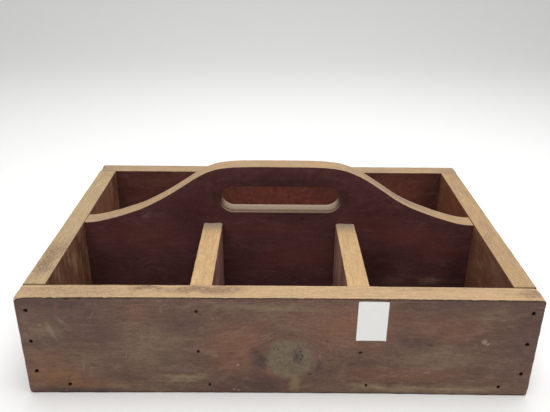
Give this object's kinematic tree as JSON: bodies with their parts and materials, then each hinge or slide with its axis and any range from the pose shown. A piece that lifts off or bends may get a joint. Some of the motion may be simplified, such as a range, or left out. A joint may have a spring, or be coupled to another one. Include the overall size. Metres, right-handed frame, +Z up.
{
  "type": "tool caddy",
  "caption": "Open rectangular wooden tool caddy: nailed box with a tall ogee-topped handle board, an oval hand slot and front dividers, for carrying hand tools.",
  "frame": {"origin": "middle of the footprint, on the table plane under the box", "axes": "+X along the length to the right, +Y to the back, +Z up; the face with the dividers behind it looks along -Y"},
  "size_m": [0.441, 0.303, 0.1612],
  "materials": {
    "outer_wood": "worn brown stain, bare sanded rim",
    "inner_wood": "dark reddish stain, bare sanded edges",
    "nail_steel": "dull, rust-darkened"
  },
  "bodies": {
    "root": {"front_board": "outer_wood", "back_board": "outer_wood", "left_end_board": "outer_wood", "right_end_board": "outer_wood", "bottom_panel": "inner_wood", "handle_board": "inner_wood", "left_divider": "inner_wood", "right_divider": "inner_wood", "front_bottom_nails": "nail_steel", "back_bottom_nails": "nail_steel", "handle_foot_nails": "nail_steel", "front_left_corner_nails": "nail_steel", "back_left_corner_nails": "nail_steel", "left_end_bottom_nails": "nail_steel", "left_end_handle_nails": "nail_steel", "left_divider_front_nails": "nail_steel", "left_divider_rear_nails": "nail_steel", "left_divider_foot_nails": "nail_steel", "front_right_corner_nails": "nail_steel", "back_right_corner_nails": "nail_steel", "right_end_bottom_nails": "nail_steel", "right_end_handle_nails": "nail_steel", "right_divider_front_nails": "nail_steel", "right_divider_rear_nails": "nail_steel", "right_divider_foot_nails": "nail_steel"}
  },
  "joints": []
}
